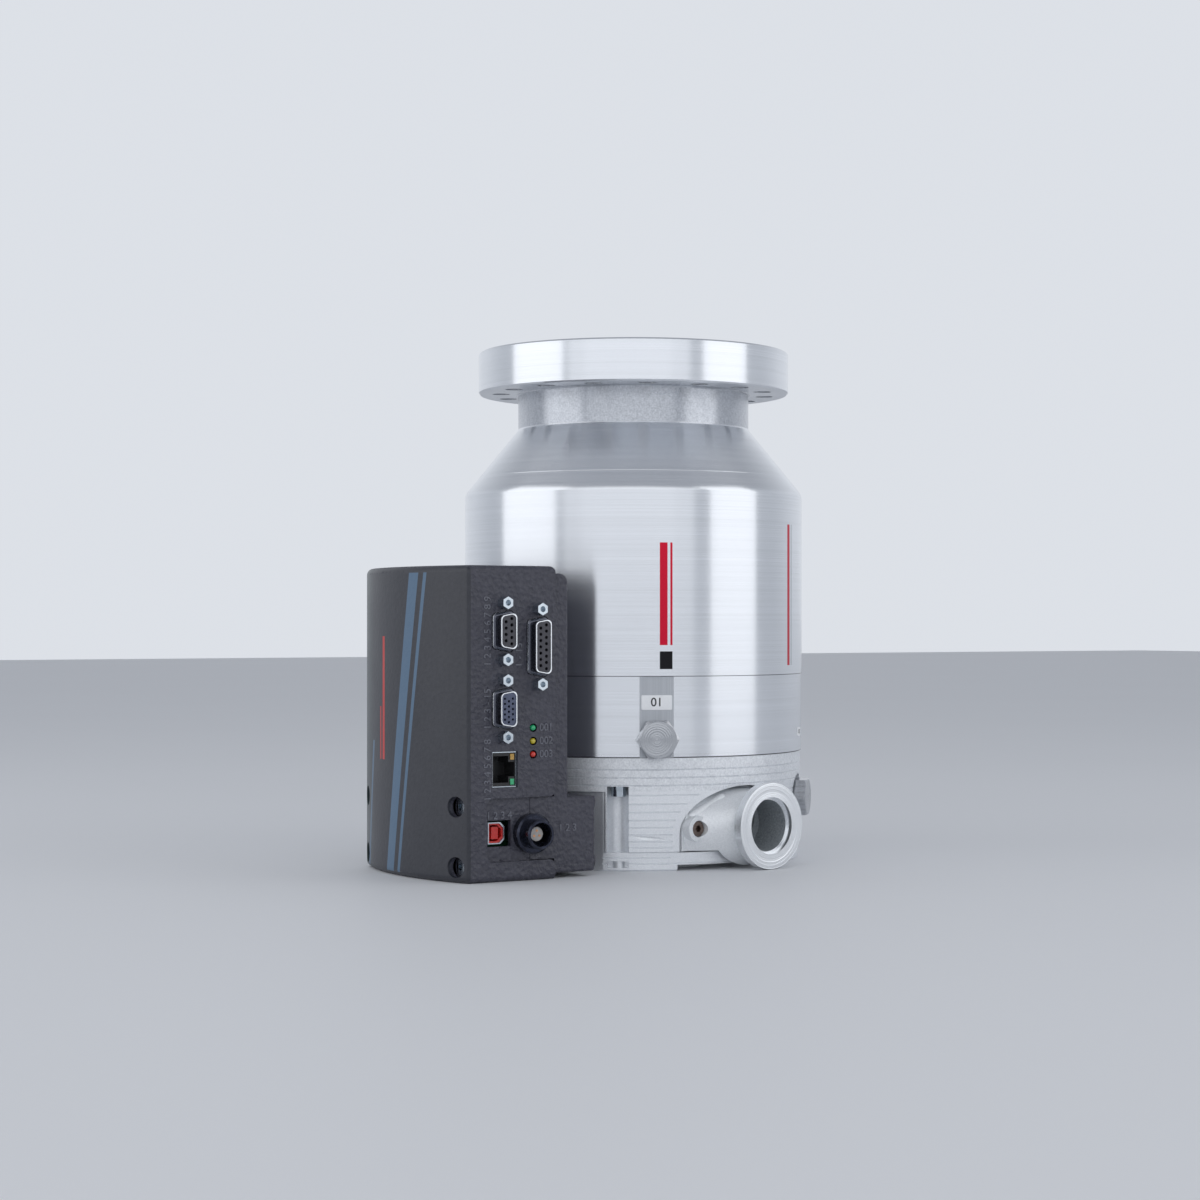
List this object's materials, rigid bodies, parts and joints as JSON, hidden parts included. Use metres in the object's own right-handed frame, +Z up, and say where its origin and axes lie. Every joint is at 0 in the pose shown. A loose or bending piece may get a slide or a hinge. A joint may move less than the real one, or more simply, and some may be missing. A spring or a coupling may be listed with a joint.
{
  "type": "turbomolecular pump",
  "caption": "Upright turbomolecular vacuum pump with a bolted inlet flange, a side foreline port and a control box with sockets.",
  "frame": {"origin": "on the rotor axis, in the plane of the base that the pump stands on", "axes": "+Z up the rotor axis to the inlet flange; the control box is on the -X side; its sockets face -Y"},
  "size_m": [0.2259, 0.1812, 0.246],
  "materials": {
    "turned_aluminium": "fine turned, satin",
    "blasted_aluminium": "bead blasted",
    "cast_aluminium": "as cast, blasted",
    "inner_aluminium": "machined",
    "steel": "machined",
    "zinc_steel": "zinc plated, bright",
    "magnet": "coated",
    "copper": "enamelled wire",
    "carbon_drum": "carbon fibre, matt",
    "ceramic": "polished",
    "seal_rubber": "moulded",
    "box_paint": "fine textured paint",
    "plate": "printed plate",
    "board_green": "solder mask",
    "socket_grey": "moulded",
    "dense_blue": "moulded",
    "black_plastic": "moulded",
    "red_plastic": "moulded",
    "insert_grey": "moulded",
    "contact": "plated",
    "lamp_green": "lens",
    "lamp_yellow": "lens",
    "lamp_red": "lens",
    "lamp_amber": "lens",
    "capacitor_sleeve": "sleeve"
  },
  "bodies": {
    "housing": {"activity_lamp": "lamp_green", "backup_bearing": "steel", "base_housing": "blasted_aluminium", "bearing_dampers": "seal_rubber", "bearing_holder": "steel", "bearing_outer_race": "steel", "bearing_spider": "inner_aluminium", "bottom_cover": "inner_aluminium", "bottom_cover_screws": "zinc_steel", "capacitors": "capacitor_sleeve", "casing_ring": "turned_aluminium", "casing_seals": "seal_rubber", "circuit_boards": "board_green", "controller_cover": "box_paint", "controller_rear": "box_paint", "dense_insert": "dense_blue", "drag_stator": "inner_aluminium", "face_screws": "steel", "feedthrough": "black_plastic", "foreline_port": "cast_aluminium", "green_lamp": "lamp_green", "inlet_casing": "turned_aluminium", "inlet_screen": "steel", "link_lamp": "lamp_amber", "motor_stator": "magnet", "motor_windings": "copper", "mount_screws": "zinc_steel", "network_insert": "black_plastic", "network_shield": "zinc_steel", "plug_washers": "seal_rubber", "port_screws": "zinc_steel", "port_seal": "seal_rubber", "power_insert": "insert_grey", "power_pins": "contact", "power_socket": "box_paint", "purge_plate": "plate", "red_lamp": "lamp_red", "socket_inserts": "socket_grey", "socket_posts": "zinc_steel", "socket_shells": "zinc_steel", "spacer_rings": "inner_aluminium", "stator_discs": "inner_aluminium", "stator_magnets": "magnet", "tie_screws": "zinc_steel", "usb_insert": "red_plastic", "usb_shield": "zinc_steel", "vent_plate": "plate", "yellow_lamp": "lamp_yellow"},
    "rotor": {"turbine_rotor": "inner_aluminium", "rotor_shaft": "steel", "shaft_nut": "steel", "drag_drum": "carbon_drum", "motor_magnet": "magnet", "rotor_magnets": "magnet", "bearing_inner_race": "steel"},
    "ball_cage": {"bearing_cage": "socket_grey", "bearing_balls": "ceramic"},
    "vent_plug": {"vent_plug": "steel"},
    "purge_plug": {"purge_plug": "steel"}
  },
  "joints": [
    {"name": "rotor_spin", "type": "hinge", "parent": "housing", "child": "rotor", "pos_m": [0, 0, 0.1], "axis": [0, 0, 1], "continuous": true},
    {"name": "ball_cage_spin", "type": "hinge", "parent": "housing", "child": "ball_cage", "pos_m": [0, 0, 0.018], "axis": [0, 0, 1], "continuous": true},
    {"name": "vent_plug_unscrew", "type": "slide", "parent": "housing", "child": "vent_plug", "axis": [-0.4067, -0.9135, 0], "range_m": [0, 0.009]},
    {"name": "purge_plug_unscrew", "type": "slide", "parent": "housing", "child": "purge_plug", "axis": [0.7071, -0.7071, 0], "range_m": [0, 0.009]}
  ],
  "couplings": [
    {"joint": "ball_cage_spin", "follows": "rotor_spin", "ratio": 0.3678}
  ]
}
